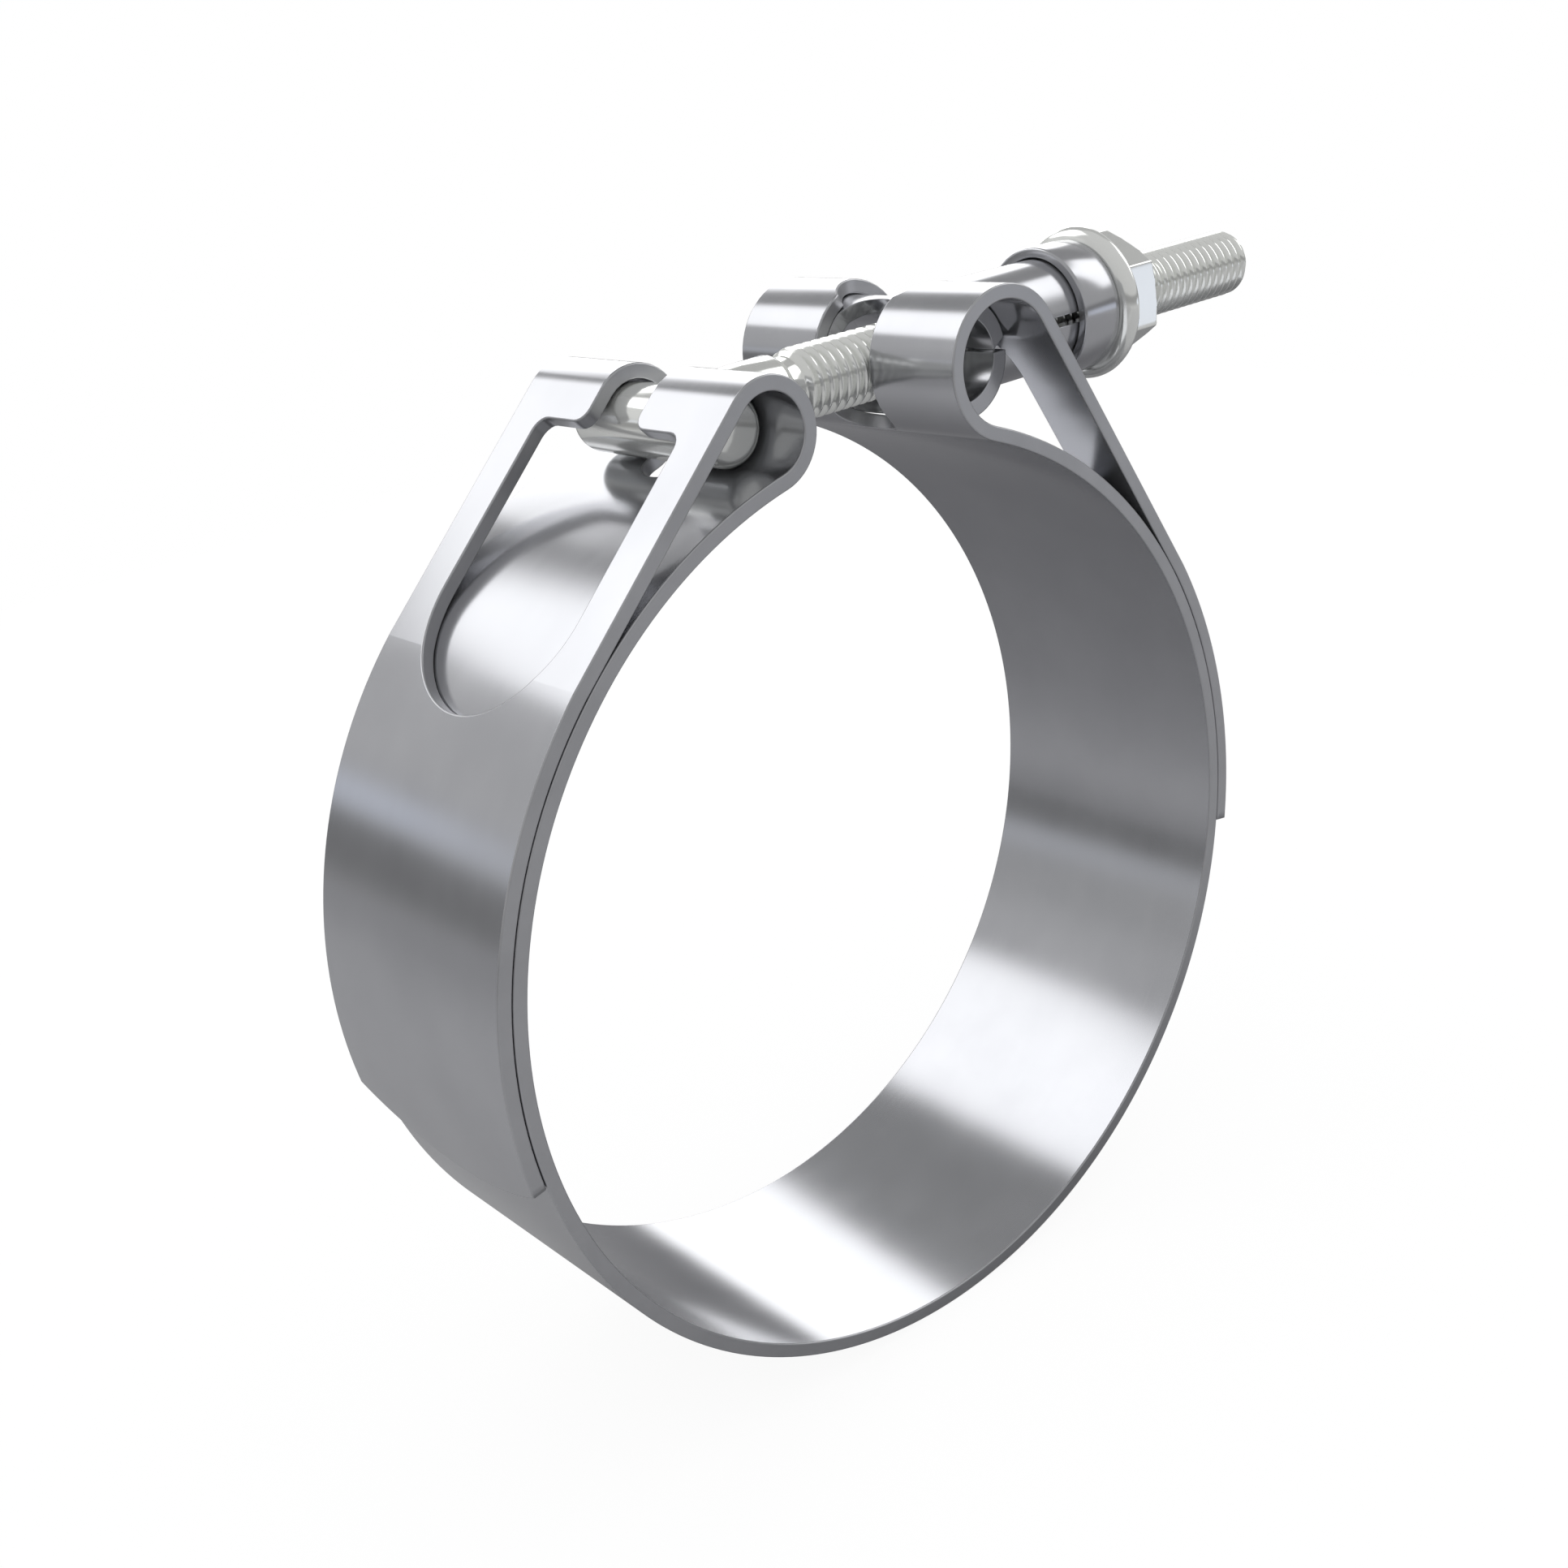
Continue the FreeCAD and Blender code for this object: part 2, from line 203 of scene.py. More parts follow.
def steel(name, colour, shade, roughness, grain, grain_scale, wander=0.05, metallic=0.85,
          bump=0.0, edge=0.0):
    """A metal whose tone wanders between two colours and whose roughness follows its grain."""
    finish = Finish(name)
    place = finish.node("TexCoord", output=OBJECT_PLACE)
    stretched = finish.node("Mapping", {}, {"Vector": place, "Scale": grain_scale})
    lines = finish.node("TexNoise", {}, {"Vector": stretched, "Scale": 1.0, "Detail": 4.0,
                                         "Roughness": 0.6})
    clouds = finish.node("TexNoise", {}, {"Vector": place, "Scale": CLOUD_SCALE, "Detail": 3.0})
    tone = (0.5 + (clouds - 0.5) * CLOUD_CONTRAST + (lines - 0.5) * grain).clamped()
    base = finish.mix_colour(tone, shade, colour)
    rough = (roughness + (lines - 0.5) * grain * GRAIN_ROUGHNESS + (clouds - 0.5) * wander).clamped()
    sockets = {"Base Color": base, "Metallic": metallic, "Roughness": rough}
    if edge:
        sockets["Normal"] = finish.node("Bevel", {"samples": 6}, {"Radius": edge * MM})
    if bump:
        sockets["Normal"] = finish.node(
            "Bump", {}, {"Strength": bump, "Distance": GRAIN_HEIGHT * MM, "Height": lines})
    return finish.output(finish.node("BsdfPrincipled", {}, sockets))


band_face = steel("band_satin_face", (0.462, 0.467, 0.488), (0.405, 0.41, 0.43), 0.165,
                  grain=0.5, grain_scale=(60.0, 9000.0, 60.0))
band_edge = steel("band_sheared_edge", (0.47, 0.474, 0.492), (0.39, 0.394, 0.41), 0.33,
                  grain=0.6, grain_scale=(500.0, 4000.0, 500.0), wander=0.1, bump=0.15)
bolt_plated = steel("bolt_plated", (0.87, 0.88, 0.855), (0.80, 0.81, 0.785), 0.11,
                    grain=0.3, grain_scale=EVEN_GRAIN, metallic=0.72)
nut_plated = steel("nut_plated", (0.86, 0.87, 0.85), (0.79, 0.80, 0.78), 0.12,
                   grain=0.3, grain_scale=EVEN_GRAIN, metallic=0.72)
trunnion_satin = steel("trunnion_satin", (0.49, 0.495, 0.515), (0.42, 0.425, 0.445), 0.18,
                       grain=0.5, grain_scale=(60.0, 2600.0, 2600.0), wander=0.06, edge=0.18)
collar_satin = steel("collar_satin", (0.49, 0.494, 0.515), (0.43, 0.434, 0.453), 0.16,
                     grain=0.4, grain_scale=(3000.0, 400.0, 400.0))
print("finishes:", [m.name for m in bpy.data.materials if m.use_nodes])

# %% [markdown]
# ## The strip, flat and then folded
#
# On the real clamp a flat strip is punched and then bent. The mesh is made the same way, because
# a flat sheet is easy to outline and to bevel, and bending it afterwards puts every slot wall at
# right angles to the sheet. First comes the line that the middle of the sheet follows at each end,
# as arcs and straight runs: ring, loop, leg, a tight bend and the lapped strap. The leg touches the
# loop, and it ends in a faint crease of two degrees where the strap begins.

# %% The folded line
# sizes in millimetres and angles in degrees, here and below
RING_BORE = 50.0
STRIP = 1.6
BAND_HALF = 17.0
LAP_GAP = 0.1
STRAP_END_ANGLE = 10.1
STRAP_END_BULGE = 3.7
SPARE_LINE = 1.0
BEND_RADIUS = 3.0
LEFT_LOOP_OFFSET = 11.964
LEFT_LOOP_BORE = 4.1
RIGHT_LOOP_BORE = 6.5
LEG_DIP = 0.035
RING_OUTER = RING_BORE + STRIP
BOLT_HEIGHT = math.sqrt((RING_OUTER + LEFT_LOOP_BORE) ** 2 - LEFT_LOOP_OFFSET ** 2)


class FoldedEnd:
    """The middle line of one end of the strip, from the ring's lowest point to the strap's end."""

    def __init__(self, sign, bore):
        self.sign = sign
        self.bore = bore
        distance = RING_OUTER + bore
        self.centre = (math.sqrt(distance ** 2 - BOLT_HEIGHT ** 2), BOLT_HEIGHT)
        self.tangent = math.atan2(self.centre[1], self.centre[0])
        strap_outer = RING_OUTER + LAP_GAP + STRIP
        leg_distance = strap_outer - LEG_DIP
        self.leg = self.tangent - math.acos((leg_distance - bore - STRIP) / distance)
        bend_reach = strap_outer - BEND_RADIUS
        strap_start = self.leg - math.acos((leg_distance - BEND_RADIUS) / bend_reach)
        bend = self.spot((0, 0), bend_reach, strap_start)
        loop_middle = bore + STRIP / 2
        bend_middle = BEND_RADIUS - STRIP / 2
        foot = self.spot(bend, bend_middle, self.leg)
        top = self.spot(self.centre, loop_middle, self.leg)
        strap_stop = -math.radians(STRAP_END_ANGLE) - (STRAP_END_BULGE + SPARE_LINE) / strap_outer
        back = self.tangent + math.pi
        self.runs = []
        self.length = 0.0
        self.arc((0, 0), RING_BORE + STRIP / 2, -math.pi / 2, self.tangent, -1)
        self.loop_start = self.length
        self.arc(self.centre, loop_middle, back, self.leg, 1)
        self.leg_start = self.length
        self.line(top, foot, (math.cos(self.leg), math.sin(self.leg)))
        self.arc(bend, bend_middle, self.leg, strap_start, 1)
        self.strap_start = self.length
        self.strap_angle = strap_start
        self.arc((0, 0), strap_outer - STRIP / 2, strap_start, strap_stop, 1)

    @staticmethod
    def spot(centre, radius, angle):
        return (centre[0] + radius * math.cos(angle), centre[1] + radius * math.sin(angle))

    def arc(self, centre, radius, start, end, face):
        self.runs.append(("arc", self.length, centre, radius, start, end, face))
        self.length += radius * abs(end - start)

    def line(self, start, end, normal):
        self.runs.append(("line", self.length, start, end, normal))
        self.length += math.dist(start, end)

    def along(self, s):
        """Point and outer normal (x, z) of the middle line at a length s, before mirroring."""
        run = [r for r in self.runs if r[1] <= s + 1e-9][-1]
        gone = s - run[1]
        if run[0] == "line":
            _, _, start, end, normal = run
            share = gone / math.dist(start, end)
            return tuple(a + (b - a) * share for a, b in zip(start, end)), normal
        _, _, centre, radius, start, end, face = run
        angle = start + math.copysign(gone / radius, end - start)
        normal = (face * math.cos(angle), face * math.sin(angle))
        return self.spot(centre, radius, angle), normal

    def down_leg(self, reach):
        """The length s whose point lies a distance down the leg from where the loop ends."""
        way = (math.sin(self.leg), -math.cos(self.leg))
        origin = self.along(self.leg_start)[0]
        low, high = self.leg_start - 3.0, self.length
        for _ in range(40):
            middle = (low + high) / 2
            point = self.along(middle)[0]
            gone = (point[0] - origin[0]) * way[0] + (point[1] - origin[1]) * way[1]
            low, high = (middle, high) if gone < reach else (low, middle)
        return low


left_end = FoldedEnd(-1, LEFT_LOOP_BORE)
right_end = FoldedEnd(1, RIGHT_LOOP_BORE)
print("bolt height", round(BOLT_HEIGHT, 3), "flat length of the strip, mm:",
      round(left_end.length + right_end.length, 1))

# %% [markdown]
# The flat blank has three outlines: its own edge with two bowed ends, the left opening for the
# bolt and its hammer head, and the right opening for the bolt and the trunnion's neck. All of them
# are symmetric about the middle of the strip, so one half is drawn and mirrored.

# %% The outlines
CURVE_STEP = 0.55
QUARTER = math.pi / 2
SHANK_SLOT_ANGLE = 106.25
BOLT_SLOT_ANGLE = 248.7
NECK_WINDOW_ANGLE = 79.5
RING_BEND_STEP = 1.5
LOOP_BEND_STEP = 6.0
STRAIGHT_STEPS = 6
END_MARGIN = 1.5
LONG_SIDE = 50.0
SIDE_MARGIN = 0.3


def arc_points(centre, radii, start, end):
    """Points on an arc or half ellipse, both ends included."""
    count = max(4, math.ceil(abs(end - start) * max(radii) / CURVE_STEP))
    return [(centre[0] + radii[0] * math.cos(start + (end - start) * k / count),
             centre[1] + radii[1] * math.sin(start + (end - start) * k / count))
            for k in range(count + 1)]


def run_points(start, end):
    count = max(1, math.ceil(math.dist(start, end) / (2 * CURVE_STEP)))
    return [(start[0] + (end[0] - start[0]) * k / count, start[1] + (end[1] - start[1]) * k / count)
            for k in range(count + 1)]


def path(*pieces):
    """Joins pieces end to end and leaves out repeated points."""
    points = []
    for piece in pieces:
        for point in piece:
            if not points or math.dist(point, points[-1]) > 1e-4:
                points.append(point)
    return points


def closed_by_mirror(half, sign):
    """A closed outline in (signed s, y) from its half with y >= 0."""
    other = [(s, -y) for s, y in reversed(half) if y > 1e-6]
    loop = [(sign * s, y) for s, y in half + other]
    area = sum(a[0] * b[1] - b[0] * a[1] for a, b in zip(loop, loop[1:] + loop[:1]))
    return loop if area > 0 else loop[::-1]


def left_opening():
    """Slot for the shank, narrow over the loop, that steps out to the head's window."""
    slot, window, shoulder, nose, corner, reach = 4.2, 12.0, 4.1, 1.7, 1.6, 24.2
    end_angle = math.radians(180 - SHANK_SLOT_ANGLE) + slot / RING_OUTER
    foot = left_end.loop_start + (end_angle - left_end.tangent) * (RING_OUTER - STRIP / 2)
    lower = [(left_end.down_leg(s), y) for s, y in path(
        run_points((0.0, slot), (shoulder - nose, slot)),
        arc_points((shoulder - nose, slot + nose), (nose, nose), -QUARTER, 0),
        run_points((shoulder, slot + nose), (shoulder, window - corner)),
        arc_points((shoulder + corner, window - corner), (corner, corner), math.pi, QUARTER),
        run_points((shoulder + corner, window), (reach, window)),
        arc_points((reach, 0.0), (window, window), QUARTER, 0))]
    return closed_by_mirror(path(arc_points((foot, 0.0), (slot, slot), math.pi, QUARTER),
                                 run_points((foot, slot), (left_end.leg_start, slot)),
                                 lower), -1)


def right_opening():
    """Slot for the bolt in the loop's front, then the windows for the trunnion's neck."""
    slot, neck, wide, start, stop = 4.345, 6.85, 9.35, 8.75, 21.0
    middle = right_end.bore + STRIP / 2
    outer = right_end.bore + STRIP

    def on_loop(angle):
        back = right_end.tangent + math.pi
        return right_end.loop_start + (back - angle) * middle

    shrink = middle / outer
    slot_centre = math.radians(BOLT_SLOT_ANGLE) - slot / outer
    window_centre = math.radians(NECK_WINDOW_ANGLE)
    meet = math.asin(slot / neck)
    step = math.sqrt(wide ** 2 - neck ** 2)
    lower = [(right_end.down_leg(s), y) for s, y in path(
        run_points((0.0, neck), (start - step, neck)),
        arc_points((start, 0.0), (wide, wide), math.pi - math.asin(neck / wide), QUARTER),
        run_points((start, wide), (stop, wide)),
        arc_points((stop, 0.0), (wide, wide), QUARTER, 0))]
    return closed_by_mirror(path(
        arc_points((on_loop(slot_centre), 0.0), (slot * shrink, slot), math.pi, QUARTER),
        run_points((on_loop(slot_centre), slot),
                   (on_loop(window_centre) - neck * math.cos(meet) * shrink, slot)),
        arc_points((on_loop(window_centre), 0.0), (neck * shrink, neck), math.pi - meet, QUARTER),
        run_points((on_loop(window_centre), neck), (right_end.leg_start, neck)),
        lower), 1)


def bend_lines():
    """Lengths at which the sheet needs a line of points across it to bend smoothly."""
    lines = set()
    for end in (left_end, right_end):
        for run, following in zip(end.runs, end.runs[1:] + [None]):
            stop = following[1] if following else end.length - END_MARGIN
            if run[0] == "arc":
                step = math.radians(RING_BEND_STEP if run[3] > RING_BORE / 2 else LOOP_BEND_STEP)
                count = max(1, math.ceil((stop - run[1]) / (run[3] * step)))
            else:
                count = STRAIGHT_STEPS
            for k in range(count + 1):
                lines.add(round(end.sign * (run[1] + (stop - run[1]) * k / count), 5))
    return sorted(lines)


def blank_outline():
    """The strip's own edge: two long sides and two bowed ends."""
    loop = []
    for end in (right_end, left_end):
        stop = end.strap_start + (end.strap_angle + math.radians(STRAP_END_ANGLE)) * (
            RING_OUTER + LAP_GAP + STRIP / 2)
        radius = (BAND_HALF ** 2 + STRAP_END_BULGE ** 2) / (2 * STRAP_END_BULGE)
        swing = math.asin(BAND_HALF / radius)
        bow = arc_points((stop + STRAP_END_BULGE - radius, 0.0), (radius, radius), -swing, swing)
        loop += [(end.sign * s, end.sign * y) for s, y in bow]
    points = []
    for a, b in zip(loop, loop[1:] + loop[:1]):
        points.append(a)
        if abs(b[0] - a[0]) > LONG_SIDE:
            low = min(a[0], b[0]) + SIDE_MARGIN
            high = max(a[0], b[0]) - SIDE_MARGIN
            side = [s for s in bend_lines() if low < s < high]
            points += [(s, a[1]) for s in (side if b[0] > a[0] else side[::-1])]
    return points


outlines = [blank_outline(), left_opening(), right_opening()]
print("outline points:", [len(loop) for loop in outlines])

# %% [markdown]
# The blank becomes a sheet with rounded edges. Each outline is stepped inwards along a quarter
# circle, which makes the bevel, and the flat face inside it is filled with triangles whose edges
# follow the bends. Every point keeps its own normal, worked out from the same quarter circle, so
# the faces stay perfectly flat in the mirror and the bevel catches a thin line of light.

# %% Folding the blank
EDGE_RADIUS = 0.2
EDGE_STEPS = 4
CORNER_REACH = 1.6


def outward_sides(loop, hole):
    """At each point of an outline, the direction out of the sheet and how far a step reaches."""
    sides = []
    for before, here, after in zip(loop[-1:] + loop[:-1], loop, loop[1:] + loop[:1]):
        first = Vector((here[1] - before[1], before[0] - here[0])).normalized()
        second = Vector((after[1] - here[1], here[0] - after[0])).normalized()
        side = (first + second).normalized()
        reach = 1 / max(1 / CORNER_REACH, side.dot(first))
        sides.append((-side if hole else side, reach))
    return sides


def fold(s, y, height):
    """The place of a point of the flat sheet once it is folded, in metres."""
    end = left_end if s < 0 else right_end
    (x, z), (nx, nz) = end.along(abs(s))
    return Vector((end.sign * (x + nx * height), y, z + nz * height)) * MM


def fold_way(s, along, across, up):
    """A direction of the flat sheet once it is folded."""
    end = left_end if s < 0 else right_end
    nx, nz = end.along(abs(s))[1]
    forward = (fold(s + 0.01, 0, 0) - fold(s - 0.01, 0, 0)).normalized()
    outward = Vector((end.sign * nx, 0, nz))
    return (forward * along + Vector((0, across, 0)) + outward * up).normalized()


class BandMesh:
    """Points, normals and faces of the folded strip, each face with its finish: 0 face, 1 edge."""

    def __init__(self):
        self.points, self.normals, self.faces, self.finishes = [], [], [], []

    def add(self, s, y, height, way):
        self.points.append(fold(s, y, height))
        self.normals.append(fold_way(s, *way))
        return len(self.points) - 1

    def bevel(self, loop, hole):
        """The rounded edge along an outline. Gives the rims that bound the top and bottom faces."""
        sides = outward_sides(loop, hole)
        turns = [QUARTER * k / EDGE_STEPS for k in range(EDGE_STEPS + 1)]
        spots, indices = [], []
        for top in (1, -1):
            for turn in (turns if top > 0 else turns[::-1]):
                inset = EDGE_RADIUS * (1 - math.sin(turn))
                height = top * (STRIP / 2 - EDGE_RADIUS + EDGE_RADIUS * math.cos(turn))
                ring, numbers = [], []
                for (s, y), (side, reach) in zip(loop, sides):
                    spot = (s - side.x * inset * reach, y - side.y * inset * reach)
                    way = (side.x * math.sin(turn), side.y * math.sin(turn), top * math.cos(turn))
                    ring.append(spot)
                    numbers.append(self.add(*spot, height, way))
                spots.append(ring)
                indices.append(numbers)
        for upper, lower in zip(indices, indices[1:]):
            for k in range(len(loop)):
                j = (k + 1) % len(loop)
                quad = (upper[k], lower[k], lower[j], upper[j])
                self.faces.append(quad[::-1] if hole else quad)
                self.finishes.append(1)
        return {1: (spots[0], indices[0]), -1: (spots[-1], indices[-1])}

    def fill(self, top, rims):
        """The flat top or bottom face inside the rims, in triangles that follow the bends."""
        points, edges, known = [], [], []
        for loop, index in rims:
            first = len(points)
            points += loop
            known += index
            edges += [(first + k, first + (k + 1) % len(loop)) for k in range(len(loop))]
        for s in bend_lines():
            edges.append((len(points), len(points) + 1))
            points += [(s, -BAND_HALF - 1), (s, BAND_HALF + 1)]
        made, _, triangles, origins, _, _ = delaunay_2d_cdt(
            [Vector(p) for p in points], edges, [], 0, 1e-5, True)
        own = {}
        for number in range(len(made)):
            inputs = [k for k in origins[number] if k < len(known)]
            own[number] = known[inputs[0]] if inputs else None
        outer, *holes = [loop for loop, _ in rims]
        for triangle in triangles:
            centre = sum((made[k] for k in triangle), Vector((0, 0))) / len(triangle)
            if not inside(centre, outer) or any(inside(centre, hole) for hole in holes):
                continue
            for k in triangle:
                if own[k] is None:
                    own[k] = self.add(made[k].x, made[k].y, top * STRIP / 2, (0, 0, top))
            corners = tuple(own[k] for k in triangle)
            self.faces.append(corners if top > 0 else corners[::-1])
            self.finishes.append(0)

    def piece(self, name, materials):
        """A new smooth object of it all, in which every point keeps its own normal."""
        mesh = bpy.data.meshes.new(name)
        mesh.from_pydata([tuple(v) for v in self.points], [], self.faces)
        for material in materials:
            mesh.materials.append(material)
        mesh.polygons.foreach_set("use_smooth", [True] * len(self.faces))
        mesh.polygons.foreach_set("material_index", self.finishes)
        mesh.normals_split_custom_set_from_vertices([tuple(n) for n in self.normals])
        made = bpy.data.objects.new(name, mesh)
        bpy.context.scene.collection.objects.link(made)
        print(name, "points", len(mesh.vertices), "faces", len(mesh.polygons))
        return made


def inside(point, loop):
    """Whether a point lies within a closed outline, by counting the sides it has to its right."""
    odd = False
    for (s0, y0), (s1, y1) in zip(loop, loop[1:] + loop[:1]):
        if (y0 > point.y) != (y1 > point.y):
            if point.x < s0 + (point.y - y0) / (y1 - y0) * (s1 - s0):
                odd = not odd
    return odd


band = BandMesh()
rims = [band.bevel(loop, number > 0) for number, loop in enumerate(outlines)]
for top in (1, -1):
    band.fill(top, [rim[top] for rim in rims])
band_piece = band.piece("band_strip", [band_face, band_edge])
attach(band_piece, "band")
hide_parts("band")

# %% [markdown]
# ## The bolt
#
# The bolt is forged and its thread is rolled. A thread is a profile that moves along by one pitch
# for each turn, so its points are laid out along the helix itself: that keeps the crest sharp with
# few faces. Where the helix would pass an end of the thread, its points stop on the end circle
# and are merged there.

# %% The bolt's body
BOLT_START = -LEFT_LOOP_OFFSET
BOLT_LENGTH = 90.6
HEAD_RADIUS = 3.8
HEAD_LENGTH = 23.0
HEAD_ROUNDING = 1.5
ROOT_SHANK = 3.7
ROOT_FILLET = 1.1
ROOT_STEPS = 7
ROOT_OVERLAP = 0.3
ROOT_INSET = 0.02
HEAD_STEPS = 96
HEAD_END_STEPS = 6
THREAD_START = BOLT_START + 16.9
THREAD_RADIUS = 3.985
ROOT_RADIUS = 3.3
PITCH = 1.25
TIP_ROUNDING = 1.4
RUN_OUT = 0.6
TURN_STEPS = 48
WELD = 1e-6
# fraction of a pitch and share of the depth, from crest to crest
THREAD_PROFILE = [(0.0, 1.0), (0.05, 1.0), (0.085, 0.95), (0.2, 0.62), (0.31, 0.27), (0.37, 0.08),
                  (0.43, 0.0), (0.57, 0.0), (0.63, 0.08), (0.69, 0.27), (0.8, 0.62), (0.915, 0.95),
                  (0.95, 1.0)]
# place along the bolt and radius, from the head to the thread
SHANK_PROFILE = [(BOLT_START + 6.3, ROOT_SHANK), (BOLT_START + 10.0, 3.8),
                 (THREAD_START - 2.95, 3.89), (THREAD_START - 2.85, 3.86),
                 (THREAD_START - 2.05, 3.34), (THREAD_START - 1.9, ROOT_RADIUS),
                 (THREAD_START - RUN_OUT, ROOT_RADIUS)]


def thread_limit(x):
    """The largest radius that the bolt has at a place along its axis, near the thread's ends."""
    end = BOLT_START + BOLT_LENGTH
    limit = THREAD_RADIUS
    if x < THREAD_START:
        share = max(0, 1 - (THREAD_START - x) / RUN_OUT)
        limit = ROOT_RADIUS + (THREAD_RADIUS - ROOT_RADIUS) * share
    if x > end - TIP_ROUNDING:
        gone = min(TIP_ROUNDING, x - end + TIP_ROUNDING)
        limit = THREAD_RADIUS - TIP_ROUNDING + math.sqrt(TIP_ROUNDING ** 2 - gone ** 2)
    return limit


def on_axis(x, radius, angle):
    return Vector((x, radius * math.cos(angle), BOLT_HEIGHT + radius * math.sin(angle))) * MM


def turned_rings(profile, steps=TURN_STEPS):
    return [[on_axis(x, r, 2 * math.pi * j / steps) for j in range(steps)] for x, r in profile]


def root_rings():
    """The shank's first rings, which flare sideways into the head as a fillet."""
    rings = [[on_axis(BOLT_START, ROOT_SHANK, 2 * math.pi * j / TURN_STEPS)
              for j in range(TURN_STEPS)]]
    for k in range(-1, ROOT_STEPS + 1):
        along = ROOT_FILLET * (1 - math.cos(QUARTER * max(k, 0) / ROOT_STEPS))
        along += min(k, 0) * ROOT_OVERLAP
        rest = ROOT_FILLET - max(along, 0)
        flare = ROOT_FILLET - math.sqrt(ROOT_FILLET ** 2 - rest ** 2)
        ring = []
        for j in range(TURN_STEPS):
            angle = 2 * math.pi * j / TURN_STEPS
            y, z = ROOT_SHANK * math.cos(angle), ROOT_SHANK * math.sin(angle)
            start = math.sqrt((HEAD_RADIUS - ROOT_INSET) ** 2 - z ** 2)
            ring.append(Vector((BOLT_START + start + along, y + flare * math.cos(angle),
                                BOLT_HEIGHT + z)) * MM)
        rings.append(ring)
    return rings


def bridge(mesh, upper, lower):
    """Quads from one ring of points to the next."""
    for j in range(len(upper)):
        k = (j + 1) % len(upper)
        mesh.faces.new((upper[j], upper[k], lower[k], lower[j]))


def add_rings(mesh, rings):
    """Rings of points, one after the other, with quads between them."""
    made = [[mesh.verts.new(point) for point in ring] for ring in rings]
    for upper, lower in zip(made, made[1:]):
        bridge(mesh, upper, lower)
    return made


def finished(mesh, name):
    """The mesh's data block, with every face turned outwards."""
    bmesh.ops.recalc_face_normals(mesh, faces=mesh.faces)
    data = bpy.data.meshes.new(name)
    mesh.to_mesh(data)
    mesh.free()
    print(name, "faces", len(data.polygons))
    return data


def make_threaded_body():
    """The shank and the thread. A row of the thread ends one pitch further on than it starts."""
    mesh = bmesh.new()
    start = THREAD_START - RUN_OUT
    end = BOLT_START + BOLT_LENGTH
    rows = []
    for turn in range(-1, math.ceil((end - start) / PITCH) + 2):
        for share, depth in THREAD_PROFILE:
            row = []
            for j in range(TURN_STEPS + 1):
                x = start + (turn + share + j / TURN_STEPS) * PITCH
                x = min(max(x, start), end)
                r = min(ROOT_RADIUS + (THREAD_RADIUS - ROOT_RADIUS) * depth, thread_limit(x))
                row.append(mesh.verts.new(on_axis(x, r, 2 * math.pi * j / TURN_STEPS)))
            rows.append(row)
    for upper, lower in zip(rows, rows[1:]):
        for j in range(TURN_STEPS):
            mesh.faces.new((upper[j], upper[j + 1], lower[j + 1], lower[j]))
    shank = add_rings(mesh, root_rings() + turned_rings(SHANK_PROFILE))
    mesh.faces.new(shank[0])
    bmesh.ops.remove_doubles(mesh, verts=mesh.verts, dist=WELD)
    bmesh.ops.dissolve_degenerate(mesh, dist=WELD / 10, edges=mesh.edges)
    open_edges = [edge for edge in mesh.edges if edge.is_boundary]
    bmesh.ops.holes_fill(mesh, edges=open_edges)
    print("open edges left:", sum(1 for edge in mesh.edges if not edge.is_manifold))
    return finished(mesh, "bolt_body")


def make_head():
    """The hammer head: a round bar across the bolt with rounded ends."""
    end = []
    for k in range(HEAD_END_STEPS + 1):
        turn = QUARTER * k / HEAD_END_STEPS
        end.append((HEAD_LENGTH / 2 - HEAD_ROUNDING * (1 - math.sin(turn)),
                    HEAD_RADIUS - HEAD_ROUNDING * (1 - math.cos(turn))))
    rings = []
    for y, r in [(-y, r) for y, r in reversed(end)] + end:
        ring = []
        for j in range(HEAD_STEPS):
            a = 2 * math.pi * j / HEAD_STEPS
            ring.append(Vector((BOLT_START + r * math.cos(a), y, BOLT_HEIGHT + r * math.sin(a))) * MM)
        rings.append(ring)
    mesh = bmesh.new()
    made = add_rings(mesh, rings)
    mesh.faces.new(made[0])
    mesh.faces.new(made[-1])
    return finished(mesh, "bolt_head")


def joined(name, first, second):
    """Two closed meshes made one with an exact Boolean."""
    body = bpy.data.objects.new(name, first)
    tool = bpy.data.objects.new(name + "_tool", second)
    for thing in (body, tool):
        bpy.context.scene.collection.objects.link(thing)
    union = body.modifiers.new("join", "BOOLEAN")
    union.operation = "UNION"
    union.solver = "EXACT"
    union.object = tool
    graph = bpy.context.evaluated_depsgraph_get()
    result = bpy.data.meshes.new_from_object(body.evaluated_get(graph))
    body.modifiers.clear()
    body.data = result
    bpy.data.objects.remove(tool)
    return body


def smooth_by_angle(thing, degrees):
    """Smooth faces, with sharp edges only where the surface turns by more than an angle."""
    thing.data.shade_smooth()
    thing.data.set_sharp_from_angle(angle=math.radians(degrees))


bolt_piece = joined("t_bolt_threaded", make_threaded_body(), make_head())
bolt_piece.data.materials.clear()
bolt_piece.data.materials.append(bolt_plated)
smooth_by_angle(bolt_piece, 38)
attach(bolt_piece, "t_bolt")
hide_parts("t_bolt")
print("bolt faces:", len(bolt_piece.data.polygons))

# %% [markdown]
# ## The collar and the nut
#
# Both are turned parts, so each is a profile carried round the bolt's axis. The nut's hexagon is
# the same idea with a radius that changes with the angle: the distance to a flat side, rounded at
# the corners, and cut by a cone at the far end, which draws the curved chamfer line on each side.
# Building them from rings gives every edge a real rounding, which catches the light.

